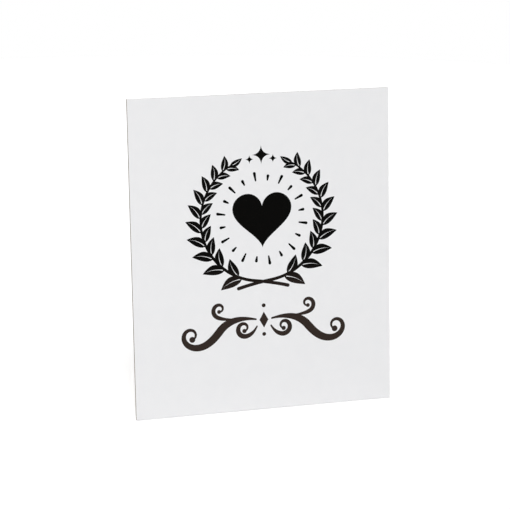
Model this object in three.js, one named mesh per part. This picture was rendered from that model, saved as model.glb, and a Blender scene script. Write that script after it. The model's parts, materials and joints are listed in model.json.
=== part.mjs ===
// Tabletop sign: a laminated display panel that leans back on a die-cut folding easel.
//
// Millimetres, +Z up, seen from the front by a reader at -Y. The origin lies on the table, under the
// middle of the whole sign. The easel is drawn as the flat chipboard blank that the die cuts. Its two
// flaps are then turned about their creases: the wing until it stands square to the panel, and the
// lock arm half as far, which brings its tongue through the slot in the wing.

import * as THREE from "three";

// How the sign stands
const LEAN = THREE.MathUtils.degToRad(6);
const WING_OPEN = THREE.MathUtils.degToRad(90);
const LOCK_OPEN = WING_OPEN / 2;

// Display panel: printed sheet, chipboard core and back sheet, glued together and trimmed flush
const PANEL_WIDTH = 254;
const PANEL_HEIGHT = 304.8;
const FRONT_SHEET = 0.2;
const CORE = 2.5;
const BACK_SHEET = 0.2;
const GLUE_LINE = 0.05;

// Double-sided tape between the back sheet and the easel's glue panel
const TAPE = 0.2;
const TAPE_WIDTH = 12;
const TAPE_SIDE_MARGIN = 2;
const TAPE_END_MARGIN = 8;

// Easel blank
const BOARD = 1.2;
const EASEL_HEIGHT = 228.6;
const EASEL_SETBACK = 2;
const CREASE_CUT = 0.3;
const DIE_CLEARANCE = 0.5;
const CORNER_RADIUS = 9;

// Wing
const WING_REACH = 92;
const WING_TOP_REACH = 24;
const FOOT_LENGTH = 22;
const FOOT_RELIEF = 3;
const FOOT_RADIUS = 2.5;
const HEEL_HEIGHT = 24;
const HEEL_RADIUS = 26;

// Lock arm: its reach is from the wing's crease to its own crease in the glue panel
const LOCK_REACH = 40;
const LOCK_CENTRE_HEIGHT = 32;
const LOCK_ROOT_HEIGHT = 26;
const LOCK_SHOULDER_HEIGHT = 20;
const LOCK_PLAY = 0.3;
const SHOULDER_RADIUS = 1.5;
const TONGUE_HEIGHT = 12;
const TONGUE_PROUD = 6;
const TONGUE_RADIUS = 3;
const SLOT_CLEARANCE = 0.8;

const ARC_STEPS = 8;

// Depths are measured back from the printed face, square to the panel.
const PANEL_THICKNESS = FRONT_SHEET + GLUE_LINE + CORE + GLUE_LINE + BACK_SHEET;
const EASEL_BACK = PANEL_THICKNESS + GLUE_LINE + TAPE + GLUE_LINE + BOARD;
const EASEL_TOP = EASEL_SETBACK + EASEL_HEIGHT;

// The open wing lies half to each side of the panel's centre line. The glue panel is wide enough for
// a full-height strip of tape beside the root of the arm.
const CREASE_X = -BOARD / 2;
const GLUE_PANEL_WIDTH = LOCK_REACH + TAPE_WIDTH + 2 * TAPE_SIDE_MARGIN;
const GLUE_PANEL_LEFT = CREASE_X - GLUE_PANEL_WIDTH;

// Open, the glue panel, the wing and the arm make a triangle whose sides along the panel and the wing
// are equal. The arm's shoulders stop just short of the wing's near face, and its tongue stands proud
// of the far face. Lengths along the arm are measured from its crease.
const LOCK_SPAN = 2 * LOCK_REACH * Math.cos(LOCK_OPEN);
const SHOULDER_LENGTH = LOCK_SPAN - (LOCK_PLAY + BOARD * Math.cos(LOCK_OPEN)) / Math.sin(LOCK_OPEN);
const LOCK_LENGTH = LOCK_SPAN + BOARD / Math.sin(LOCK_OPEN) + TONGUE_PROUD;

const MATERIALS = {
  coatedPaper: new THREE.MeshStandardMaterial({ color: 0xeaeaea, roughness: 0.42, metalness: 0 }),
  chipboard: new THREE.MeshStandardMaterial({ color: 0x897e73, roughness: 0.9, metalness: 0 }),
  backPaper: new THREE.MeshStandardMaterial({ color: 0xe6e3dd, roughness: 0.8, metalness: 0 }),
  tape: new THREE.MeshStandardMaterial({ color: 0xdcd8c8, roughness: 0.5, metalness: 0 }),
  easelBoard: new THREE.MeshStandardMaterial({ color: 0xb3a48f, roughness: 0.88, metalness: 0 }),
};

// A closed outline through corners [x, y] or [x, y, radius], with each radius as a true arc.
function outline(corners) {
  const shape = new THREE.Shape();
  corners.forEach(([x, y, radius = 0], i) => {
    const corner = new THREE.Vector2(x, y);
    if (radius === 0) {
      if (i === 0) shape.moveTo(x, y);
      else shape.lineTo(x, y);
      return;
    }
    const back = new THREE.Vector2(...corners.at(i - 1)).sub(corner).normalize();
    const on = new THREE.Vector2(...corners[(i + 1) % corners.length]).sub(corner).normalize();
    const halfAngle = Math.acos(back.dot(on)) / 2;
    const trim = radius / Math.tan(halfAngle);
    const start = corner.clone().addScaledVector(back, trim);
    const end = corner.clone().addScaledVector(on, trim);
    const centre = corner.clone().add(back.clone().add(on).setLength(radius / Math.sin(halfAngle)));
    const clockwise = on.cross(back) < 0;
    if (i === 0) shape.moveTo(start.x, start.y);
    else shape.lineTo(start.x, start.y);
    shape.absarc(
      centre.x,
      centre.y,
      radius,
      Math.atan2(start.y - centre.y, start.x - centre.x),
      Math.atan2(end.y - centre.y, end.x - centre.x),
      clockwise,
    );
  });
  shape.closePath();
  return shape;
}

function rectangle(left, bottom, right, top) {
  return outline([
    [left, bottom],
    [right, bottom],
    [right, top],
    [left, top],
  ]);
}

// A flat piece of the given outline, standing upright with its back face at y = 0.
function upright(name, shape, thickness, material) {
  const geometry = new THREE.ExtrudeGeometry(shape, {
    depth: thickness,
    bevelEnabled: false,
    curveSegments: ARC_STEPS,
  });
  geometry.rotateX(Math.PI / 2);
  const mesh = new THREE.Mesh(geometry, material);
  mesh.name = name;
  return mesh;
}

// The three plies of the display panel, one behind the other.
function displayPanel() {
  const ply = (name, thickness, material, backDepth) => {
    const shape = rectangle(-PANEL_WIDTH / 2, 0, PANEL_WIDTH / 2, PANEL_HEIGHT);
    const mesh = upright(name, shape, thickness, material);
    mesh.position.y = backDepth;
    return mesh;
  };
  return [
    ply("front_sheet", FRONT_SHEET, MATERIALS.coatedPaper, FRONT_SHEET),
    ply("core_board", CORE, MATERIALS.chipboard, FRONT_SHEET + GLUE_LINE + CORE),
    ply("back_sheet", BACK_SHEET, MATERIALS.backPaper, PANEL_THICKNESS),
  ];
}

// Half the lock arm's height at a length along it: it tapers from its crease to its shoulders.
function lockHalfHeight(length) {
  const share = length / SHOULDER_LENGTH;
  return THREE.MathUtils.lerp(LOCK_ROOT_HEIGHT, LOCK_SHOULDER_HEIGHT, share) / 2;
}

// Lower (-1) or upper (1) edge of the hole that the arm leaves in the flat blank.
function windowEdge(length, side) {
  return LOCK_CENTRE_HEIGHT + side * (lockHalfHeight(length) + DIE_CLEARANCE);
}

// Glue panel: the part of the blank that is taped to the back sheet. The arm is cut out of it.
function gluePanel() {
  const right = CREASE_X - CREASE_CUT / 2;
  const root = right - LOCK_REACH;
  const shape = outline([
    [GLUE_PANEL_LEFT, EASEL_SETBACK, CORNER_RADIUS],
    [right, EASEL_SETBACK],
    [right, windowEdge(LOCK_REACH, -1)],
    [root, windowEdge(0, -1)],
    [root, windowEdge(0, 1)],
    [right, windowEdge(LOCK_REACH, 1)],
    [right, EASEL_TOP],
    [GLUE_PANEL_LEFT, EASEL_TOP, CORNER_RADIUS],
  ]);
  const mesh = upright("easel_glue_panel", shape, BOARD, MATERIALS.easelBoard);
  mesh.position.y = EASEL_BACK;
  return mesh;
}

// Two strips of tape: one down the panel's outer edge, and one beside the crease, above the window.
function tapeStrips() {
  const strip = (name, left, bottom) => {
    const shape = rectangle(left, bottom, left + TAPE_WIDTH, EASEL_TOP - TAPE_END_MARGIN);
    const mesh = upright(name, shape, TAPE, MATERIALS.tape);
    mesh.position.y = PANEL_THICKNESS + GLUE_LINE + TAPE;
    return mesh;
  };
  const outerLeft = GLUE_PANEL_LEFT + TAPE_SIDE_MARGIN;
  const creaseLeft = CREASE_X - TAPE_SIDE_MARGIN - TAPE_WIDTH;
  return [
    strip("tape_strip_outer", outerLeft, EASEL_SETBACK + TAPE_END_MARGIN),
    strip("tape_strip_crease", creaseLeft, windowEdge(0, 1) + TAPE_END_MARGIN),
  ];
}

// Height of the table above the panel's bottom edge, at a distance out along the open wing.
function tableHeight(reach) {
  const behindPanel = EASEL_BACK + reach * Math.sin(WING_OPEN) - PANEL_THICKNESS;
  return behindPanel * Math.tan(LEAN);
}

// Wing: a tapering flap whose foot lies flat on the table and whose heel stands upright when the sign
// leans. The notch at its crease is the arm's nest in the flat blank, and its slot takes the tongue.
function wing() {
  const inner = CREASE_CUT / 2;
  const footStart = WING_REACH - FOOT_LENGTH;
  const reliefStart = footStart - 2 * FOOT_RELIEF;
  const heelReach = WING_REACH - HEEL_HEIGHT * Math.tan(LEAN);
  const shoulder = SHOULDER_LENGTH + DIE_CLEARANCE;
  const nestShoulder = shoulder - LOCK_REACH;
  const nestTip = LOCK_LENGTH + DIE_CLEARANCE - LOCK_REACH;
  const tongueBottom = LOCK_CENTRE_HEIGHT - TONGUE_HEIGHT / 2 - DIE_CLEARANCE;
  const tongueTop = LOCK_CENTRE_HEIGHT + TONGUE_HEIGHT / 2 + DIE_CLEARANCE;
  const shape = outline([
    [inner, EASEL_SETBACK],
    [reliefStart, tableHeight(reliefStart) + FOOT_RELIEF, FOOT_RELIEF],
    [footStart, tableHeight(footStart), FOOT_RADIUS],
    [WING_REACH, tableHeight(WING_REACH), FOOT_RADIUS],
    [heelReach, tableHeight(WING_REACH) + HEEL_HEIGHT, HEEL_RADIUS],
    [WING_TOP_REACH, EASEL_TOP, CORNER_RADIUS],
    [inner, EASEL_TOP],
    [inner, windowEdge(LOCK_REACH, 1)],
    [nestShoulder, windowEdge(shoulder, 1), SHOULDER_RADIUS],
    [nestShoulder, tongueTop],
    [nestTip, tongueTop, TONGUE_RADIUS],
    [nestTip, tongueBottom, TONGUE_RADIUS],
    [nestShoulder, tongueBottom],
    [nestShoulder, windowEdge(shoulder, -1), SHOULDER_RADIUS],
    [inner, windowEdge(LOCK_REACH, -1)],
  ]);
  const slotStart = LOCK_REACH - BOARD / Math.sin(LOCK_OPEN) - SLOT_CLEARANCE;
  const slotEnd = LOCK_REACH + BOARD / Math.tan(LOCK_OPEN) + SLOT_CLEARANCE;
  const slotHalfHeight = TONGUE_HEIGHT / 2 + SLOT_CLEARANCE;
  const slotBottom = LOCK_CENTRE_HEIGHT - slotHalfHeight;
  const slotTop = LOCK_CENTRE_HEIGHT + slotHalfHeight;
  shape.holes.push(rectangle(slotStart, slotBottom, slotEnd, slotTop));
  return upright("easel_wing", shape, BOARD, MATERIALS.easelBoard);
}

// Lock arm: a tapering strip that ends in two shoulders and a rounded tongue.
function lockArm() {
  const root = CREASE_CUT / 2;
  const edge = (length, side) => LOCK_CENTRE_HEIGHT + side * lockHalfHeight(length);
  const tongueBottom = LOCK_CENTRE_HEIGHT - TONGUE_HEIGHT / 2;
  const tongueTop = LOCK_CENTRE_HEIGHT + TONGUE_HEIGHT / 2;
  const shape = outline([
    [root, edge(root, -1)],
    [SHOULDER_LENGTH, edge(SHOULDER_LENGTH, -1), SHOULDER_RADIUS],
    [SHOULDER_LENGTH, tongueBottom],
    [LOCK_LENGTH, tongueBottom, TONGUE_RADIUS],
    [LOCK_LENGTH, tongueTop, TONGUE_RADIUS],
    [SHOULDER_LENGTH, tongueTop],
    [SHOULDER_LENGTH, edge(SHOULDER_LENGTH, 1), SHOULDER_RADIUS],
    [root, edge(root, 1)],
  ]);
  return upright("easel_lock_arm", shape, BOARD, MATERIALS.easelBoard);
}

// A flap hangs on its crease: an upright line at x in the blank's back face.
function creased(flap, x, angle) {
  const crease = new THREE.Group();
  crease.position.set(x, EASEL_BACK, 0);
  crease.rotation.z = angle;
  crease.add(flap);
  return crease;
}

// The bottom edge of the back sheet rests on the table at z = 0. The sign's depth, from the front
// sheet's bottom edge to the wing's heel, is centred on y = 0.
const HEEL_DEPTH = EASEL_BACK + WING_REACH * Math.sin(WING_OPEN);
const SIGN_DEPTH = (HEEL_DEPTH - PANEL_THICKNESS * Math.sin(LEAN) ** 2) / Math.cos(LEAN);

const leaning = new THREE.Group();
leaning.rotation.x = -LEAN;
leaning.position.set(0, -SIGN_DEPTH / 2, PANEL_THICKNESS * Math.sin(LEAN));
leaning.add(
  ...displayPanel(),
  ...tapeStrips(),
  gluePanel(),
  creased(wing(), CREASE_X, WING_OPEN),
  creased(lockArm(), CREASE_X - LOCK_REACH, LOCK_OPEN),
);

const sign = new THREE.Group();
sign.add(leaning);

export default sign;
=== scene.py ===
import json
import math
import random

import bmesh
import bpy
from mathutils import Matrix, Vector
from mathutils.geometry import delaunay_2d_cdt


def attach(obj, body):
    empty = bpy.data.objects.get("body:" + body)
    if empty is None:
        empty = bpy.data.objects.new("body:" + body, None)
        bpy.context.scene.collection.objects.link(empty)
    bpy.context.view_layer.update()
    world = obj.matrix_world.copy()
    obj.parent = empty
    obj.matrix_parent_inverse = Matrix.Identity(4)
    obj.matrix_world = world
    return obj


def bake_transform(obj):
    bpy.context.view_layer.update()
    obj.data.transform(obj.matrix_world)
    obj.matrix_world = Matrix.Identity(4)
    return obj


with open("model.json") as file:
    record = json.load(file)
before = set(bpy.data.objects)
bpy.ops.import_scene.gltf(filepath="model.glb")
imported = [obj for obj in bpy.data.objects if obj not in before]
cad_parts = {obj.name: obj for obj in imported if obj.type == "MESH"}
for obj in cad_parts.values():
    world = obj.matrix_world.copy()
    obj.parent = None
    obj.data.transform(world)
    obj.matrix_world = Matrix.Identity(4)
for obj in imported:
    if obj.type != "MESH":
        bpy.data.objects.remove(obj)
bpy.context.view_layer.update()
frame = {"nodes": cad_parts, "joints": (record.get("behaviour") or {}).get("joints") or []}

# Camera
# A long lens stands to the reader's left of the sign and a little above it, 1.8 m away. Its place
# was worked out from the four corners of the panel, and it looks at the middle of the printed face.
MM = 0.001
ACROSS = Vector((1, 0, 0))
UP = Vector(frame["joints"][0]["axis"]).normalized()
FRONT = ACROSS.cross(UP)
BACK = -FRONT

CAMERA_AZIMUTH = math.radians(-15.825)
CAMERA_ELEVATION = math.radians(16.472)
CAMERA_ROLL = math.radians(0.597)
CAMERA_DISTANCE = 1815.9
CAMERA_LENS = 135
FILM_WIDTH = 36
NEAREST_SEEN, FARTHEST_SEEN = 0.1, 50
AIM_RIGHT = -7.35
AIM_UP = -1.59


def reach(name, direction):
    """The least and the greatest distance that a CAD piece reaches along a direction."""
    along = [vertex.co.dot(direction) for vertex in frame["nodes"][name].data.vertices]
    return min(along), max(along)


PANEL_FOOT, PANEL_TOP = reach("front_sheet", UP)
PANEL_HALF_WIDTH = reach("front_sheet", ACROSS)[1]
FACE = reach("front_sheet", FRONT)[1]


def on_face(x, height, proud=0.0):
    """A point of the printed face, x mm right of its middle and height mm up, moved out by proud mm."""
    return ACROSS * (x * MM) + UP * (PANEL_FOOT + height * MM) + FRONT * (FACE + proud * MM)


def camera():
    level = math.cos(CAMERA_ELEVATION)
    towards = Vector((
        math.sin(CAMERA_AZIMUTH) * level,
        -math.cos(CAMERA_AZIMUTH) * level,
        math.sin(CAMERA_ELEVATION),
    ))
    right = Vector((math.cos(CAMERA_AZIMUTH), math.sin(CAMERA_AZIMUTH), 0))
    upright = towards.cross(right)
    middle_height = (PANEL_TOP - PANEL_FOOT) / MM / 2
    aim = on_face(0, middle_height) + (right * AIM_RIGHT + upright * AIM_UP) * MM
    roll = Matrix.Rotation(CAMERA_ROLL, 3, towards)
    made = bpy.data.objects.new("camera", bpy.data.cameras.new("camera"))
    axes = Matrix((roll @ right, roll @ upright, towards)).transposed()
    made.matrix_world = Matrix.Translation(aim + towards * CAMERA_DISTANCE * MM) @ axes.to_4x4()
    made.data.lens = CAMERA_LENS
    made.data.sensor_width = FILM_WIDTH
    made.data.clip_start = NEAREST_SEEN
    made.data.clip_end = FARTHEST_SEEN
    bpy.context.scene.collection.objects.link(made)
    bpy.context.scene.camera = made


camera()

# Studio
# A white table top stands in a dim room with three large soft lamps, the main one high in front. Seen
# or mirrored, table and room are white, and the table keeps the sign's soft shadow.
ROOM_LIGHT = 0.26
WHITE = (1, 1, 1, 1)
TABLE_RADIUS = 1800
TABLE_SIDES = 64
TABLE_COLOUR = (0.90, 0.90, 0.905, 1)
TABLE_GLOW = 0.38
TABLE_GAP = 0.05
LAMPS = {
    "overhead": {"place": (-900, -3900, 6200), "size": 3000, "power": 273},
    "fill": {"place": (-600, -4000, 450), "size": 1300, "power": 35},
    "rear": {"place": (-500, 3600, 1000), "size": 2400, "power": 84},
}


def add(tree, kind, inputs=None, **settings):
    """A new shader node. Each input gets a value, or a link where it is given another node's output."""
    node = tree.nodes.new(kind)
    for name, value in settings.items():
        setattr(node, name, value)
    for name, value in (inputs or {}).items():
        if isinstance(value, bpy.types.NodeSocket):
            tree.links.new(value, node.inputs[name])
        else:
            node.inputs[name].default_value = value
    return node


def maths(tree, operation, *values, clamp=False):
    inputs = dict(enumerate(values))
    return add(tree, "ShaderNodeMath", inputs, operation=operation, use_clamp=clamp).outputs[0]


def seen_white(tree):
    """1 for rays of the camera, of reflections and of light sent through, and 0 for other light."""
    rays = tree.nodes.new("ShaderNodeLightPath").outputs
    shown = maths(tree, "ADD", rays["Is Camera Ray"], rays["Is Glossy Ray"])
    return maths(tree, "ADD", shown, rays["Is Transmission Ray"], clamp=True)


def room():
    world = bpy.data.worlds.new("room")
    bpy.context.scene.world = world
    world.use_nodes = True
    tree = world.node_tree
    tree.nodes.clear()
    strength = maths(tree, "MULTIPLY_ADD", seen_white(tree), 1 - ROOM_LIGHT, ROOM_LIGHT)
    light = add(tree, "ShaderNodeBackground", {"Color": WHITE, "Strength": strength})
    add(tree, "ShaderNodeOutputWorld", {"Surface": light.outputs[0]})


def table():
    material = bpy.data.materials.new("white_table")
    material.use_nodes = True
    tree = material.node_tree
    tree.nodes.clear()
    top = add(tree, "ShaderNodeBsdfDiffuse", {"Color": TABLE_COLOUR})
    glow_strength = maths(tree, "MULTIPLY", seen_white(tree), TABLE_GLOW)
    glow = add(tree, "ShaderNodeEmission", {"Color": WHITE, "Strength": glow_strength})
    both = add(tree, "ShaderNodeAddShader", {0: top.outputs[0], 1: glow.outputs[0]})
    add(tree, "ShaderNodeOutputMaterial", {"Surface": both.outputs[0]})
    mesh = bmesh.new()
    bmesh.ops.create_circle(mesh, cap_ends=True, segments=TABLE_SIDES, radius=TABLE_RADIUS * MM)
    data = bpy.data.meshes.new("table")
    mesh.to_mesh(data)
    mesh.free()
    data.materials.append(material)
    made = bpy.data.objects.new("table", data)
    made.location.z = -TABLE_GAP * MM
    bpy.context.scene.collection.objects.link(made)


def lamps():
    middle = Vector((0, 0, (PANEL_TOP - PANEL_FOOT) / 2))
    for name, lamp in LAMPS.items():
        light = bpy.data.lights.new(name, "AREA")
        light.shape = "DISK"
        light.size = lamp["size"] * MM
        light.energy = lamp["power"]
        made = bpy.data.objects.new(name, light)
        made.location = Vector(lamp["place"]) * MM
        made.rotation_mode = "QUATERNION"
        made.rotation_quaternion = (middle - made.location).to_track_quat("-Z", "Y")
        bpy.context.scene.collection.objects.link(made)


room()
table()
lamps()
bpy.context.scene.view_settings.view_transform = "Standard"

# Front sheet
# The printed sheet is smooth white paper with a satin coat, 0.2 mm thick. It is glued over the whole
# front of the board and trimmed flush with it, so its cut edge shows as a thin white line.
SHEET_WHITE = (0.827, 0.827, 0.834, 1)
SHEET_CLOUD = (0.817, 0.818, 0.827, 1)
SHEET_CUT = (0.70, 0.69, 0.68, 1)
SHEET_RUB = 1.1
SHEET_RELIEF = 0.004
SHEET_BEVEL = 0.06
WELD_REACH = 0.001
FLAT_WITHIN = math.radians(0.5)
SHARP_FROM = math.radians(40)
VALUE, VECTOR, COLOUR = "NodeSocketFloat", "NodeSocketVector", "NodeSocketColor"


def new_group(name, inputs, outputs):
    """A shader node group with named sockets: its tree, the outputs of its inner start, and its end."""
    tree = bpy.data.node_groups.new(name, "ShaderNodeTree")
    for label, kind in inputs.items():
        tree.interface.new_socket(label, in_out="INPUT", socket_type=kind)
    for label, kind in outputs.items():
        tree.interface.new_socket(label, in_out="OUTPUT", socket_type=kind)
    return tree, tree.nodes.new("NodeGroupInput").outputs, tree.nodes.new("NodeGroupOutput")


def vectors(tree, operation, *values):
    node = add(tree, "ShaderNodeVectorMath", dict(enumerate(values)), operation=operation)
    return node.outputs["Value" if operation == "DOT_PRODUCT" else "Vector"]


def scaled(tree, vector, factor):
    inputs = {0: vector, "Scale": factor}
    return add(tree, "ShaderNodeVectorMath", inputs, operation="SCALE").outputs["Vector"]


def noise(tree, position, scale, detail=2.0, roughness=0.5, distortion=0.0):
    """Cloudy noise about 0.5. Its scale is in waves to the millimetre."""
    inputs = {
        "Vector": position,
        "Scale": scale,
        "Detail": detail,
        "Roughness": roughness,
        "Distortion": distortion,
    }
    return add(tree, "ShaderNodeTexNoise", inputs).outputs[0]


def ramp(tree, value, given_range, new_range=(0.0, 1.0)):
    """Turns one range of a value into another, with soft ends."""
    inputs = {"Value": value, "From Min": given_range[0], "From Max": given_range[1]}
    inputs |= {"To Min": new_range[0], "To Max": new_range[1]}
    made = add(tree, "ShaderNodeMapRange", inputs, interpolation_type="SMOOTHSTEP", clamp=True)
    return made.outputs["Result"]


def mixed(tree, share, first, second):
    inputs = {0: share, 6: first, 7: second}
    return add(tree, "ShaderNodeMix", inputs, data_type="RGBA").outputs[2]


def cut_edge_group():
    """1 on the cut edges of a flat sheet or board and 0 on its two faces."""
    inputs = {"Normal": VECTOR, "Through": VECTOR}
    tree, given, end = new_group("cut_edge", inputs, {"Edge": VALUE})
    facing = vectors(tree, "DOT_PRODUCT", given["Normal"], given["Through"])
    facing = maths(tree, "ABSOLUTE", facing)
    tree.links.new(ramp(tree, facing, (0.45, 0.95), (1.0, 0.0)), end.inputs["Edge"])
    return tree


def rubbed_rim_group():
    """Wear that runs in from the panel's trimmed rim, deeper at some places than at others."""
    inputs = {"Position": VECTOR, "Depth": VALUE}
    tree, given, end = new_group("rubbed_rim", inputs, {"Wear": VALUE})
    parts = add(tree, "ShaderNodeSeparateXYZ", {0: given["Position"]}).outputs
    side = maths(tree, "SUBTRACT", PANEL_HALF_WIDTH / MM, maths(tree, "ABSOLUTE", parts["X"]))
    height = vectors(tree, "DOT_PRODUCT", given["Position"], tuple(UP))
    from_foot = maths(tree, "SUBTRACT", height, PANEL_FOOT / MM)
    from_top = maths(tree, "SUBTRACT", PANEL_TOP / MM, height)
    rim = maths(tree, "MINIMUM", side, maths(tree, "MINIMUM", from_foot, from_top))
    uneven = noise(tree, given["Position"], scale=0.11, detail=4.0, roughness=0.65)
    uneven = ramp(tree, uneven, (0.42, 0.72), (0.05, 1.0))
    depth = maths(tree, "MULTIPLY", given["Depth"], uneven)
    wear = maths(tree, "DIVIDE", rim, depth)
    tree.links.new(ramp(tree, wear, (0.0, 1.0), (1.0, 0.0)), end.inputs["Wear"])
    return tree


def paper_group():
    """Paper: clouds where its pulp lies thicker, fine fibres on its faces and a duller cut edge."""
    inputs = {"Position": VECTOR, "Edge": VALUE, "Paper": COLOUR, "Cloud": COLOUR, "Fibre": COLOUR}
    inputs |= {"Cut": COLOUR, "Fibre Amount": VALUE, "Roughness": VALUE}
    outputs = {"Colour": COLOUR, "Roughness": VALUE, "Height": VALUE}
    tree, given, end = new_group("paper", inputs, outputs)
    clouds = noise(tree, given["Position"], scale=0.085, detail=3.0, roughness=0.55)
    colour = mixed(tree, ramp(tree, clouds, (0.35, 0.68)), given["Paper"], given["Cloud"])
    line = noise(tree, given["Position"], scale=0.42, detail=1.0, roughness=0.4, distortion=0.6)
    strand = maths(tree, "ABSOLUTE", maths(tree, "SUBTRACT", line, 0.5))
    strand = ramp(tree, strand, (0.0, 0.018), (1.0, 0.0))
    patch = ramp(tree, noise(tree, given["Position"], scale=0.31, detail=2.0), (0.52, 0.62))
    strand = maths(tree, "MULTIPLY", maths(tree, "MULTIPLY", strand, patch), given["Fibre Amount"])
    colour = mixed(tree, strand, colour, given["Fibre"])
    colour = mixed(tree, given["Edge"], colour, given["Cut"])
    tree.links.new(colour, end.inputs["Colour"])
    tooth = noise(tree, given["Position"], scale=2.6, detail=3.0, roughness=0.6)
    dull = maths(tree, "MULTIPLY_ADD", given["Edge"], 0.35, given["Roughness"])
    spread = maths(tree, "MULTIPLY_ADD", maths(tree, "SUBTRACT", tooth, 0.5), 0.16, dull)
    tree.links.new(maths(tree, "MINIMUM", spread, 1.0), end.inputs["Roughness"])
    raised = maths(tree, "MULTIPLY_ADD", strand, 0.5, tooth)
    tree.links.new(raised, end.inputs["Height"])
    return tree


CUT_EDGE = cut_edge_group()
RUBBED_RIM = rubbed_rim_group()
PAPER = paper_group()


def new_material(name):
    """A material with its Principled shader, its surface position in mm and its own normal."""
    made = bpy.data.materials.new(name)
    made.use_nodes = True
    tree = made.node_tree
    tree.nodes.clear()
    shader = tree.nodes.new("ShaderNodeBsdfPrincipled")
    add(tree, "ShaderNodeOutputMaterial", {"Surface": shader.outputs[0]})
    place = tree.nodes.new("ShaderNodeTexCoord").outputs
    return made, tree, shader, scaled(tree, place["Object"], 1 / MM), place["Normal"]


def place_group(tree, group, inputs):
    return add(tree, "ShaderNodeGroup", inputs, node_tree=group).outputs


def finish(tree, shader, colour, roughness, height, depth):
    """Feeds the shader, with its relief given as a depth in mm from the lowest point to the highest."""
    relief = {"Height": height, "Strength": 1.0, "Distance": depth * MM}
    tree.links.new(add(tree, "ShaderNodeBump", relief).outputs[0], shader.inputs["Normal"])
    tree.links.new(colour, shader.inputs["Base Color"])
    tree.links.new(roughness, shader.inputs["Roughness"])


def dress(name, material, bevel):
    """Gives a CAD piece its material, and takes the sharpness off its cut edges."""
    piece = frame["nodes"][name]
    piece.material_slots[0].material = material
    weld = piece.modifiers.new("joined_corners", "WELD")
    weld.merge_threshold = WELD_REACH * MM
    flat = piece.modifiers.new("whole_faces", "DECIMATE")
    flat.decimate_type = "DISSOLVE"
    flat.angle_limit = FLAT_WITHIN
    softened = piece.modifiers.new("softened_edges", "BEVEL")
    softened.width = bevel * MM
    softened.segments = 2
    softened.limit_method = "ANGLE"
    softened.angle_limit = SHARP_FROM


def coated_paper():
    made, tree, shader, position, normal = new_material("coated_paper")
    edge = place_group(tree, CUT_EDGE, {"Normal": normal, "Through": tuple(BACK)})["Edge"]
    paper = place_group(tree, PAPER, {
        "Position": position,
        "Edge": edge,
        "Paper": SHEET_WHITE,
        "Cloud": SHEET_CLOUD,
        "Fibre": SHEET_CUT,
        "Cut": SHEET_CUT,
        "Fibre Amount": 0.05,
        "Roughness": 0.42,
    })
    wear = place_group(tree, RUBBED_RIM, {"Position": position, "Depth": SHEET_RUB})["Wear"]
    colour = mixed(tree, maths(tree, "MULTIPLY", wear, 0.35), paper["Colour"], SHEET_CUT)
    roughness = maths(tree, "MULTIPLY_ADD", wear, 0.25, paper["Roughness"])
    finish(tree, shader, colour, roughness, paper["Height"], SHEET_RELIEF)
    return made


dress("front_sheet", coated_paper(), SHEET_BEVEL)

# Print
# The sheet is printed with a laurel wreath of two branches round a heart with rays, sparkles in the
# gap at the top, and a pen flourish below. Each is a film of ink on the paper. The ink is black. Lower
# down, in the flourish, it is painted a dark warm grey, a painted sheen; thin spots of ink are warm too.
INK_PROUD = 0.03
INK_SUNK = 0.02
INK_RELIEF = 0.004
INK_BLACK = (0.0016, 0.0016, 0.0014, 1)
INK_THIN_AND_SHEEN = (0.0335, 0.0235, 0.0195, 1)
INK_JOIN = 0.01
INK_STRAIGHT = math.radians(0.6)
INSIDE_OF_SHAPES = 1
INK_SHEEN_HEIGHT = 100
INK_BLACK_HEIGHT = 145
DESIGN_HEIGHT = 186
DISC_SIDES = 24
PEN_END_SIDES = 16


def ink():
    made, tree, shader, position, _ = new_material("printing_ink")
    height = vectors(tree, "DOT_PRODUCT", position, tuple(UP))
    height = maths(tree, "SUBTRACT", height, PANEL_FOOT / MM)
    # Lower down the ink turns warm grey: a painted sheen of light on the ink.
    past_painted_sheen = ramp(tree, height, (INK_SHEEN_HEIGHT, INK_BLACK_HEIGHT))
    colour = mixed(tree, past_painted_sheen, INK_THIN_AND_SHEEN, INK_BLACK)
    cover = noise(tree, position, scale=0.9, detail=4.0, roughness=0.6)
    thin = ramp(tree, cover, (0.45, 0.8), (0.0, 0.09))
    colour = mixed(tree, thin, colour, INK_THIN_AND_SHEEN)
    roughness = ramp(tree, cover, (0.3, 0.75), (0.5, 0.62))
    finish(tree, shader, colour, roughness, cover, INK_RELIEF)
    shader.inputs["Specular IOR Level"].default_value = 0.02
    return made


INK = ink()


def new_piece(name, mesh, material):
    """Makes an object of a bmesh, with its material."""
    data = bpy.data.meshes.new(name)
    mesh.to_mesh(data)
    mesh.free()
    data.materials.append(material)
    made = bpy.data.objects.new(name, data)
    bpy.context.scene.collection.objects.link(made)
    return made


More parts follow.
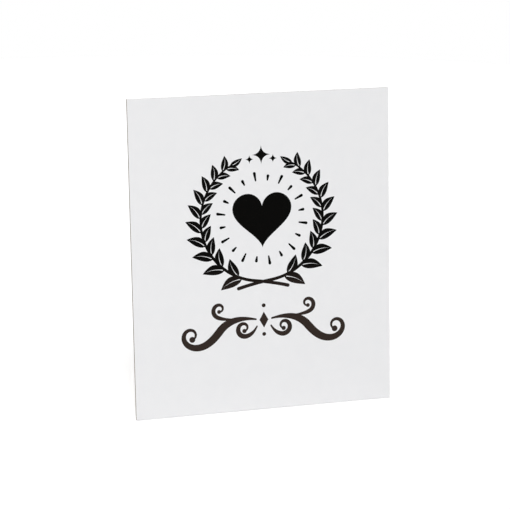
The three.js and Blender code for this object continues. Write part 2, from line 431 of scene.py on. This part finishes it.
def printed(name, shapes):
    """A closed film of ink in the joint outline of shapes, which are rings of (x, height) in mm."""
    corners, rings = [], []
    for shape in shapes:
        rings.append(list(range(len(corners), len(corners) + len(shape))))
        corners += [Vector(corner) for corner in shape]
    joined = delaunay_2d_cdt(corners, [], rings, INSIDE_OF_SHAPES, INK_JOIN)
    points, _, cells, _, _, covered_by = joined
    film = bmesh.new()
    top = [film.verts.new(on_face(x, height, INK_PROUD)) for x, height in points]
    for cell, covering in zip(cells, covered_by):
        if covering:
            film.faces.new([top[i] for i in cell])
    inner = [vertex for vertex in film.verts if not vertex.link_faces]
    bmesh.ops.delete(film, geom=inner, context="VERTS")
    bmesh.ops.dissolve_limit(film, angle_limit=INK_STRAIGHT, verts=film.verts[:], edges=film.edges[:])
    printed_faces = film.faces[:]
    rim_loops = [edge.link_loops[0] for edge in film.edges if edge.is_boundary]
    rim = [(loop.vert, loop.link_loop_next.vert) for loop in rim_loops]
    depth = FRONT * ((INK_PROUD + INK_SUNK) * MM)
    under = {vertex: film.verts.new(vertex.co - depth) for vertex in film.verts[:]}
    for face in printed_faces:
        film.faces.new([under[vertex] for vertex in reversed(face.verts)])
    for first, second in rim:
        film.faces.new([second, first, under[first], under[second]])
    bmesh.ops.triangulate(film, faces=film.faces[:])
    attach(new_piece(name, film, INK), "sign")


def disc(x, height, radius, sides=DISC_SIDES):
    turns = [2 * math.pi * i / sides for i in range(sides)]
    return [(x + radius * math.cos(a), height + radius * math.sin(a)) for a in turns]


def pen_line(points, widths):
    """The shapes of a pen line that changes its width along its points, with round ends."""
    left, right = [], []
    befores, afters = points[:1] + points, points[1:] + points[-1:]
    for before, point, after, width in zip(befores, points, afters, widths):
        along = (Vector(after) - Vector(before)).normalized()
        aside = Vector((-along.y, along.x)) * width / 2
        left.append(Vector(point) + aside)
        right.append(Vector(point) - aside)
    ends = [disc(*points[end], widths[end] / 2, PEN_END_SIDES) for end in (0, -1)]
    return [right + left[::-1], *ends]


def both_sides(shapes):
    """Shapes and their mirror images about the panel's middle."""
    return shapes + [[(-x, height) for x, height in reversed(shape)] for shape in shapes]


# Wreath of the print
# Two branches of laurel cross at the foot and bend up to either side. The leaves stand in pairs that
# get smaller and closer towards the tip, and each is printed as two lobes with its vein left white.
WREATH_RADIUS = 60
BRANCH_START, BRANCH_TIP, BRANCH_STEP = -24, 148, 4
STEM_BEND_START = 8
STEM_BEND = 0.011
STEM_WIDTHS = (3.4, 1.6)
LEAF_PAIRS = 10
LEAF_CROWDING = 0.86
FIRST_PAIR, LAST_PAIR = 18, 140
LEAF_LENGTHS = (25, 16)
LEAF_WIDTHS = (10.0, 6.6)
LEAF_SPREAD = math.radians(40)
LEAF_BEND = 0.22
LEAF_STEPS = 10
INNER_LENGTH, INNER_WIDTH = 0.86, 0.9
INNER_LEAF_AFTER = 4
TIP_LENGTH, TIP_WIDTH, TIP_BEND = 0.95, 5.4, 0.1
TIP_TURN = 2
LOBE_START = 0.1
STALK_END = 0.14
STALK_WIDTH = 1.2
VEIN_HALF_WIDTH = 0.42
VEIN_END = 0.9


def branch_point(degrees):
    """A point of the right branch, by its angle from straight down. The cut stem bends out."""
    angle = math.radians(degrees)
    drop = max(0, STEM_BEND_START - degrees) ** 2 * STEM_BEND
    return WREATH_RADIUS * math.sin(angle), DESIGN_HEIGHT - WREATH_RADIUS * math.cos(angle) - drop


def between(ends, share):
    return ends[0] + (ends[1] - ends[0]) * share


def leaf(root, heading, length, width, bend):
    """Two lobes and a stalk. The leaf bends to its left by a share of its length."""
    turn = Matrix.Rotation(heading, 2)

    def at(share, aside):
        sag = 2 * bend * length * share * (1 - share)
        return Vector(root) + turn @ Vector((length * share, aside + sag))

    shapes = []
    for side in (1, -1):
        outer, inner = [], []
        for i in range(LEAF_STEPS + 1):
            share = i / LEAF_STEPS
            along = between((LOBE_START, 1), share)
            vein = VEIN_HALF_WIDTH * max(0, 1 - share / VEIN_END)
            swell = width / 2 * max(0, math.sin(math.pi * share ** 0.82)) ** 0.9
            outer.append(at(along, side * (swell + vein)))
            inner.append(at(along, side * vein))
        lobe = outer[:0:-1] + inner[:-1]
        shapes.append(lobe if side > 0 else lobe[::-1])
    return shapes + pen_line([at(0, 0), at(STALK_END, 0)], [STALK_WIDTH, STALK_WIDTH])


def wreath():
    turns = range(BRANCH_START, BRANCH_TIP + BRANCH_STEP, BRANCH_STEP)
    stem = [branch_point(degrees) for degrees in turns]
    widths = [between(STEM_WIDTHS, i / (len(stem) - 1)) for i in range(len(stem))]
    shapes = pen_line(stem, widths)
    for pair in range(LEAF_PAIRS):
        share = (pair / (LEAF_PAIRS - 1)) ** LEAF_CROWDING
        degrees = between((FIRST_PAIR, LAST_PAIR), share)
        length = between(LEAF_LENGTHS, share)
        width = between(LEAF_WIDTHS, share)
        heading = math.radians(degrees)
        root, inner_root = branch_point(degrees), branch_point(degrees + INNER_LEAF_AFTER)
        shapes += leaf(root, heading - LEAF_SPREAD, length, width, LEAF_BEND)
        inner_heading = heading + LEAF_SPREAD + math.radians(INNER_LEAF_AFTER)
        inner_size = INNER_LENGTH * length, INNER_WIDTH * width
        shapes += leaf(inner_root, inner_heading, *inner_size, -LEAF_BEND)
    tip_heading = math.radians(BRANCH_TIP + TIP_TURN)
    tip_size = LEAF_LENGTHS[1] * TIP_LENGTH, TIP_WIDTH
    shapes += leaf(branch_point(BRANCH_TIP), tip_heading, *tip_size, TIP_BEND)
    printed("ink_wreath", both_sides(shapes))


wreath()

# Heart and sparkles of the print
# A bold heart fills the middle of the wreath, with short rays of two lengths round it. A large and two
# small four-pointed sparkles stand in the gap between the tips of the branches.
HEART_WIDTH = 58
HEART_CURVE_WIDTH = 32
HEART_STEPS = 72
HEART_RISE = 2.8
RAYS = 20
RAY_START = 37
RAY_LENGTHS = (4, 7)
RAY_WIDTHS = (1.5, 2.8)
SPARKLES = ((0, 61, 9.0), (-11.5, 57, 4.2), (11.5, 57, 4.2))
SPARKLE_WAIST = 0.16
SPARKLE_STEPS = 8


def heart():
    """A heart drawn by the usual sum of waves, which is 32 units wide before it is scaled."""
    scale = HEART_WIDTH / HEART_CURVE_WIDTH
    ring = []
    for i in range(HEART_STEPS):
        turn = -2 * math.pi * i / HEART_STEPS
        x = 16 * math.sin(turn) ** 3
        rise = 13 * math.cos(turn) - 5 * math.cos(2 * turn) - 2 * math.cos(3 * turn) - math.cos(4 * turn)
        ring.append((x * scale, DESIGN_HEIGHT + HEART_RISE + rise * scale))
    printed("ink_heart", [ring])


def rays():
    shapes = []
    for i in range(RAYS):
        angle = 2 * math.pi * (i + 0.5) / RAYS
        outward = Vector((math.sin(angle), math.cos(angle)))
        middle = Vector((0, DESIGN_HEIGHT))
        ends = RAY_START, RAY_START + RAY_LENGTHS[i % 2]
        shapes += pen_line([middle + outward * ends[0], middle + outward * ends[1]], RAY_WIDTHS)
    printed("ink_rays", shapes)


def sparkle(x, rise, size):
    """A star of four points, whose sides are curves drawn in towards its middle."""
    ring = []
    for quarter in range(4):
        first = Vector((math.cos(quarter * math.pi / 2), math.sin(quarter * math.pi / 2)))
        second = Vector((-first.y, first.x))
        waist = (first + second) * SPARKLE_WAIST / 2
        for i in range(SPARKLE_STEPS):
            share = i / SPARKLE_STEPS
            point = first * (1 - share) ** 2 + second * share ** 2 + waist * 2 * share * (1 - share)
            ring.append(Vector((x, DESIGN_HEIGHT + rise)) + point * size)
    return ring


heart()
rays()
printed("ink_sparkles", [sparkle(*place) for place in SPARKLES])

# Flourish of the print
# A pen flourish lies under the wreath, the same to either side of a small diamond and two dots. Each
# stroke starts thin, swells as the pen turns down, and rolls up into a curl that ends in a drop.
FLOURISH_HEIGHT = 88
STROKE_STEP = 0.8
DIAMOND = (4.4, 7.8)
DOT_RADIUS = 1.9
DOT_OFFSET = 14
STROKES = [
    # The start is measured from the diamond. Each bend is a length and the curvature at its two ends.
    {"start": (8, 1), "heading": 12, "thin": 1.8, "thick": 7.8, "swell": 0.36, "drop": 2.9,
     "bends": ((38, -0.012, -0.045), (42, 0.0, 0.088), (30, 0.095, 0.24))},
    {"start": (7, -6), "heading": -62, "thin": 1.5, "thick": 4.8, "swell": 0.40, "drop": 2.1,
     "bends": ((14, 0.03, 0.09), (18, 0.13, 0.17), (14, 0.20, 0.32))},
    {"start": (30, 2.6), "heading": 2, "thin": 1.5, "thick": 4.2, "swell": 0.45, "drop": 1.9,
     "bends": ((16, 0.0, 0.05), (16, 0.12, 0.19), (12, 0.22, 0.36))},
]


def pen_path(start, heading, bends):
    """Points along a path that starts in a direction and bends by a curvature that changes evenly."""
    points = [start]
    for length, first_curvature, last_curvature in bends:
        steps = max(2, round(length / STROKE_STEP))
        step = length / steps
        for i in range(steps):
            curvature = between((first_curvature, last_curvature), (i + 0.5) / steps)
            heading += curvature * step
            points.append(points[-1] + Vector((math.cos(heading), math.sin(heading))) * step)
    return points


def swelling(share, swell):
    """0 at both ends of a stroke and 1 at the share of its length where it is thickest."""
    before = share / (2 * swell)
    after = 0.5 + (share - swell) / (2 * (1 - swell))
    return max(0, math.sin(math.pi * (before if share < swell else after))) ** 1.3


def flourish():
    shapes = []
    for stroke in STROKES:
        start = Vector(stroke["start"]) + Vector((0, FLOURISH_HEIGHT))
        points = pen_path(start, math.radians(stroke["heading"]), stroke["bends"])
        last = len(points) - 1
        widths = [
            between((stroke["thin"], stroke["thick"]), swelling(i / last, stroke["swell"]))
            for i in range(last + 1)
        ]
        shapes += pen_line(points, widths) + [disc(*points[-1], stroke["drop"])]
    shapes = both_sides(shapes)
    wide, high = DIAMOND
    shapes.append([
        (wide, FLOURISH_HEIGHT),
        (0, FLOURISH_HEIGHT + high),
        (-wide, FLOURISH_HEIGHT),
        (0, FLOURISH_HEIGHT - high),
    ])
    shapes += [disc(0, FLOURISH_HEIGHT + offset, DOT_RADIUS) for offset in (-DOT_OFFSET, DOT_OFFSET)]
    printed("ink_flourish", shapes)


flourish()

# Core board
# The panel's core is 2.5 mm of grey-brown chipboard, pressed in layers from waste paper. Only its cut
# edges show, with pale and dark fibres. Along the top they carry white streaks, a painted highlight.
CORE_FACE = (0.40, 0.34, 0.27, 1)
# The cut edges are far darker than the board's faces: partly the board's own darker cut, partly painted
# shade.
CORE_CUT_AND_SHADE = (0.215, 0.165, 0.115, 1)
CORE_DARK = (0.10, 0.075, 0.052, 1)
CORE_PALE = (0.36, 0.315, 0.26, 1)
CORE_TOP_HIGHLIGHT = (0.80, 0.79, 0.77, 1)
CORE_LAYER = 0.5
CORE_BEVEL = 0.12
BOARD_RELIEF = 0.05


def chipboard_group():
    """Board of waste paper: mottled faces with stray fibres and specks, and layers on its cut edges."""
    inputs = {"Position": VECTOR, "Edge": VALUE, "Through": VECTOR, "Face": COLOUR, "Cut": COLOUR}
    inputs |= {"Dark": COLOUR, "Pale": COLOUR, "Layer": VALUE}
    outputs = {"Colour": COLOUR, "Roughness": VALUE, "Height": VALUE}
    tree, given, end = new_group("chipboard", inputs, outputs)
    position = given["Position"]
    pulp = noise(tree, position, scale=0.13, detail=4.0, roughness=0.6)
    colour = mixed(tree, ramp(tree, pulp, (0.5, 0.78), (0.0, 0.35)), given["Face"], given["Pale"])
    colour = mixed(tree, ramp(tree, pulp, (0.5, 0.25), (0.0, 0.30)), colour, given["Dark"])
    depth = vectors(tree, "DOT_PRODUCT", position, given["Through"])
    through = maths(tree, "DIVIDE", depth, given["Layer"])
    stretched = scaled(tree, given["Through"], maths(tree, "MULTIPLY", through, 9.0))
    layers = noise(tree, vectors(tree, "ADD", position, stretched), scale=0.11, detail=3.0, roughness=0.6)
    cut = mixed(tree, ramp(tree, layers, (0.48, 0.68), (0.0, 0.75)), given["Cut"], given["Pale"])
    cut = mixed(tree, ramp(tree, layers, (0.46, 0.30), (0.0, 0.8)), cut, given["Dark"])
    colour = mixed(tree, given["Edge"], colour, cut)
    line = noise(tree, position, scale=0.24, detail=1.0, roughness=0.5, distortion=0.5)
    strand = maths(tree, "ABSOLUTE", maths(tree, "SUBTRACT", line, 0.5))
    strand = ramp(tree, strand, (0.003, 0.015), (1.0, 0.0))
    where = noise(tree, vectors(tree, "ADD", position, (37.0, 11.0, 5.0)), scale=0.22, detail=2.0)
    dark_strand = maths(tree, "MULTIPLY", strand, ramp(tree, where, (0.55, 0.62), (0.0, 0.6)))
    pale_strand = maths(tree, "MULTIPLY", strand, ramp(tree, where, (0.45, 0.38), (0.0, 0.7)))
    colour = mixed(tree, dark_strand, colour, given["Dark"])
    colour = mixed(tree, pale_strand, colour, given["Pale"])
    speck = noise(tree, position, scale=1.15, detail=1.0, roughness=0.5)
    colour = mixed(tree, ramp(tree, speck, (0.68, 0.74), (0.0, 0.7)), colour, given["Dark"])
    colour = mixed(tree, ramp(tree, speck, (0.30, 0.25), (0.0, 0.7)), colour, given["Pale"])
    tree.links.new(colour, end.inputs["Colour"])
    tooth = noise(tree, position, scale=1.9, detail=4.0, roughness=0.65)
    dull = maths(tree, "MULTIPLY_ADD", given["Edge"], 0.12, 0.72)
    tree.links.new(maths(tree, "MULTIPLY_ADD", tooth, 0.2, dull), end.inputs["Roughness"])
    raised = maths(tree, "MULTIPLY_ADD", strand, 0.35, tooth)
    open_layers = maths(tree, "MULTIPLY", maths(tree, "MULTIPLY", layers, given["Edge"]), 2.0)
    tree.links.new(maths(tree, "ADD", raised, open_layers), end.inputs["Height"])
    return tree


CHIPBOARD = chipboard_group()


def chipboard(name, through, face, cut, dark, pale, layer):
    """A chipboard material. Returns it, its node tree, its shader, its position and its normal."""
    made, tree, shader, position, normal = new_material(name)
    edge = place_group(tree, CUT_EDGE, {"Normal": normal, "Through": tuple(through)})["Edge"]
    board = place_group(tree, CHIPBOARD, {
        "Position": position,
        "Edge": edge,
        "Through": tuple(through),
        "Face": face,
        "Cut": cut,
        "Dark": dark,
        "Pale": pale,
        "Layer": layer,
    })
    finish(tree, shader, board["Colour"], board["Roughness"], board["Height"], BOARD_RELIEF)
    shader.inputs["Specular IOR Level"].default_value = 0.35
    return made, tree, shader, position, normal


def core_chipboard():
    made, tree, shader, position, normal = chipboard(
        "core_board", BACK, CORE_FACE, CORE_CUT_AND_SHADE, CORE_DARK, CORE_PALE, CORE_LAYER
    )
    # Cut edges that face up are painted near-white in streaks, a painted highlight of the light from
    # above.
    lit_from_above = ramp(tree, vectors(tree, "DOT_PRODUCT", normal, tuple(UP)), (0.6, 0.9))
    depth = vectors(tree, "DOT_PRODUCT", position, tuple(BACK))
    drawn_out = scaled(tree, tuple(BACK), maths(tree, "MULTIPLY", depth, -0.8))
    streaks = vectors(tree, "ADD", position, drawn_out)
    streaks = noise(tree, streaks, scale=1.3, detail=4.0, roughness=0.65)
    cover = ramp(tree, streaks, (0.32, 0.54), (0.5, 1.0))
    bare = shader.inputs["Base Color"].links[0].from_socket
    painted_top_highlight = mixed(tree, maths(tree, "MULTIPLY", lit_from_above, cover), bare, CORE_TOP_HIGHLIGHT)
    tree.links.new(painted_top_highlight, shader.inputs["Base Color"])
    return made


dress("core_board", core_chipboard(), CORE_BEVEL)

# Back sheet
# The back of the panel is covered with uncoated off-white paper, glued on so that the board doesn't
# warp. It has soft clouds, a few stray fibres and a slight tooth, and is rubbed along the rim.
BACK_WHITE = (0.735, 0.715, 0.665, 1)
BACK_CLOUD = (0.714, 0.693, 0.641, 1)
BACK_FIBRE = (0.50, 0.45, 0.38, 1)
BACK_CUT = (0.62, 0.58, 0.52, 1)
BACK_RUB = 2.6
BACK_RELIEF = 0.02
BACK_BEVEL = 0.06


def uncoated_paper():
    made, tree, shader, position, normal = new_material("uncoated_paper")
    edge = place_group(tree, CUT_EDGE, {"Normal": normal, "Through": tuple(BACK)})["Edge"]
    paper = place_group(tree, PAPER, {
        "Position": position,
        "Edge": edge,
        "Paper": BACK_WHITE,
        "Cloud": BACK_CLOUD,
        "Fibre": BACK_FIBRE,
        "Cut": BACK_CUT,
        "Fibre Amount": 0.55,
        "Roughness": 0.78,
    })
    wear = place_group(tree, RUBBED_RIM, {"Position": position, "Depth": BACK_RUB})["Wear"]
    colour = mixed(tree, maths(tree, "MULTIPLY", wear, 0.6), paper["Colour"], BACK_CUT)
    finish(tree, shader, colour, paper["Roughness"], paper["Height"], BACK_RELIEF)
    shader.inputs["Specular IOR Level"].default_value = 0.35
    return made


dress("back_sheet", uncoated_paper(), BACK_BEVEL)

# Tape
# Two strips of double-sided tissue tape hold the easel to the back sheet. The tape is thin, slightly
# yellow and clear enough to look waxy, and shows only as a line under the easel's glue panel.
TAPE_TONE = (0.66, 0.62, 0.50, 1)
TAPE_CLOUD = (0.60, 0.56, 0.44, 1)
TAPE_FIBRE = (0.74, 0.71, 0.62, 1)
TAPE_RELIEF = 0.01
TAPE_BEVEL = 0.04


def tissue_tape():
    made, tree, shader, position, normal = new_material("tissue_tape")
    edge = place_group(tree, CUT_EDGE, {"Normal": normal, "Through": tuple(BACK)})["Edge"]
    tissue = place_group(tree, PAPER, {
        "Position": position,
        "Edge": edge,
        "Paper": TAPE_TONE,
        "Cloud": TAPE_CLOUD,
        "Fibre": TAPE_FIBRE,
        "Cut": TAPE_CLOUD,
        "Fibre Amount": 0.9,
        "Roughness": 0.42,
    })
    finish(tree, shader, tissue["Colour"], tissue["Roughness"], tissue["Height"], TAPE_RELIEF)
    return made


tape_material = tissue_tape()
for strip in ("tape_strip_outer", "tape_strip_crease"):
    dress(strip, tape_material, TAPE_BEVEL)

# Easel board
# Glue panel, wing and lock arm are die-cut from one blank of natural chipboard, 1.2 mm thick. Its
# faces are rolled smooth and mottled, and the cut edges are rougher and show the layers.
EASEL_FACE = (0.43, 0.345, 0.245, 1)
EASEL_CUT = (0.37, 0.295, 0.21, 1)
EASEL_DARK = (0.17, 0.125, 0.08, 1)
EASEL_PALE = (0.62, 0.545, 0.43, 1)
EASEL_LAYER = 0.3
EASEL_BEVEL = 0.16


def opened(joint):
    """How far a joint has turned its flap out of the flat blank when the sign stands."""
    return Matrix.Rotation(-math.radians(joint["range_deg"][0]), 3, UP)


def easel_board(name, through):
    return chipboard(name, through, EASEL_FACE, EASEL_CUT, EASEL_DARK, EASEL_PALE, EASEL_LAYER)[0]


JOINTS = {joint["name"]: joint for joint in frame["joints"]}
panel_board = easel_board("easel_board_panel", BACK)
dress("easel_glue_panel", panel_board, EASEL_BEVEL)
wing_board = easel_board("easel_board_wing", opened(JOINTS["wing_fold"]) @ BACK)
dress("easel_wing", wing_board, EASEL_BEVEL)
arm_board = easel_board("easel_board_arm", opened(JOINTS["lock_fold"]) @ BACK)
dress("easel_lock_arm", arm_board, EASEL_BEVEL)

# Creases
# The die cuts the blank part of the way through along each crease, and the ply that is left carries
# the flap. Folding pushes that ply up into a narrow bead, with small cracks along it.
BESIDE_CREASE = 0.4
BEAD_REACH = 1.1
BEAD_EDGE = 0.07
BEAD_SUNK = 0.03
BEAD_STEPS = 10
BEAD_SPACING = 3.0
BEAD_UNEVEN = 0.12
BEAD_SEED = 17
BEAD_RELIEF = 0.06
CREASE_TONE = (0.46, 0.375, 0.272, 1)


def creased_board():
    made, tree, shader, position, _ = new_material("creased_board")
    board = place_group(tree, CHIPBOARD, {
        "Position": position,
        "Edge": 0.0,
        "Through": tuple(BACK),
        "Face": CREASE_TONE,
        "Cut": EASEL_CUT,
        "Dark": EASEL_DARK,
        "Pale": EASEL_PALE,
        "Layer": EASEL_LAYER,
    })
    height = vectors(tree, "DOT_PRODUCT", position, tuple(UP))
    drawn_out = scaled(tree, tuple(UP), maths(tree, "MULTIPLY", height, -0.9))
    cracks = vectors(tree, "ADD", position, drawn_out)
    cracks = noise(tree, cracks, scale=1.7, detail=3.0, roughness=0.6)
    cracked = ramp(tree, cracks, (0.45, 0.34), (0.0, 0.6))
    colour = mixed(tree, cracked, board["Colour"], EASEL_DARK)
    relief = maths(tree, "MULTIPLY_ADD", cracks, 1.5, board["Height"])
    finish(tree, shader, colour, board["Roughness"], relief, BEAD_RELIEF)
    shader.inputs["Specular IOR Level"].default_value = 0.35
    return made


CREASED_BOARD = creased_board()


def crease_stretches(flap, crease):
    """The stretches of height where a flap meets its crease, from its corners that lie beside it."""
    beside = set()
    for vertex in frame["nodes"][flap].data.vertices:
        offset = vertex.co - crease
        height = offset.dot(UP)
        if (offset - UP * height).length < BESIDE_CREASE * MM:
            beside.add(round(height / MM, 2))
    heights = sorted(beside)
    return list(zip(heights[::2], heights[1::2]))


def crease_bead(name, joint, low, high, seed):
    """A bead of ply from the glue panel to a flap, from one height to another, closed at its ends."""
    crease = Vector(joint["pos_m"])
    turn = opened(joint)
    panel_way, panel_out = -ACROSS, BACK
    flap_way, flap_out = turn @ ACROSS, turn @ BACK
    sizes = random.Random(seed)
    sections = max(2, round((high - low) / BEAD_SPACING))
    mesh = bmesh.new()
    rings = []
    for i in range(sections + 1):
        height = between((low, high), i / sections)
        bulge = 1 + sizes.uniform(-BEAD_UNEVEN, BEAD_UNEVEN)
        foot = crease + UP * height * MM
        reach_here = BEAD_REACH * bulge * MM
        ends = (
            foot + panel_way * reach_here + panel_out * BEAD_EDGE * MM,
            foot + (panel_out + flap_out) * BEAD_EDGE * MM,
            foot + flap_way * reach_here + flap_out * BEAD_EDGE * MM,
        )
        ring = []
        for j in range(BEAD_STEPS + 1):
            share = j / BEAD_STEPS
            weights = (1 - share) ** 2, 2 * share * (1 - share), share ** 2
            ring.append(ends[0] * weights[0] + ends[1] * weights[1] + ends[2] * weights[2])
        sunk = BEAD_SUNK * MM
        ring.append(foot + flap_way * reach_here - flap_out * sunk)
        ring.append(foot)
        ring.append(foot + panel_way * reach_here - panel_out * sunk)
        rings.append([mesh.verts.new(point) for point in ring])
    around = len(rings[0])
    for lower, upper in zip(rings, rings[1:]):
        for j in range(around):
            after = (j + 1) % around
            mesh.faces.new([lower[j], lower[after], upper[after], upper[j]])
    mesh.faces.new(rings[0][::-1])
    mesh.faces.new(rings[-1])
    bmesh.ops.recalc_face_normals(mesh, faces=mesh.faces[:])
    piece = new_piece(name, mesh, CREASED_BOARD)
    for face in piece.data.polygons:
        face.use_smooth = len(face.vertices) == 4
    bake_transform(piece)


def creases():
    made = (("wing_fold", "easel_wing", "wing"), ("lock_fold", "easel_lock_arm", "lock_arm"))
    for joint_name, flap, body in made:
        joint = JOINTS[joint_name]
        stretches = crease_stretches(flap, Vector(joint["pos_m"]))
        for i, (low, high) in enumerate(stretches):
            crease_bead(f"crease_{body}_{i + 1}", joint, low, high, BEAD_SEED + i)


creases()
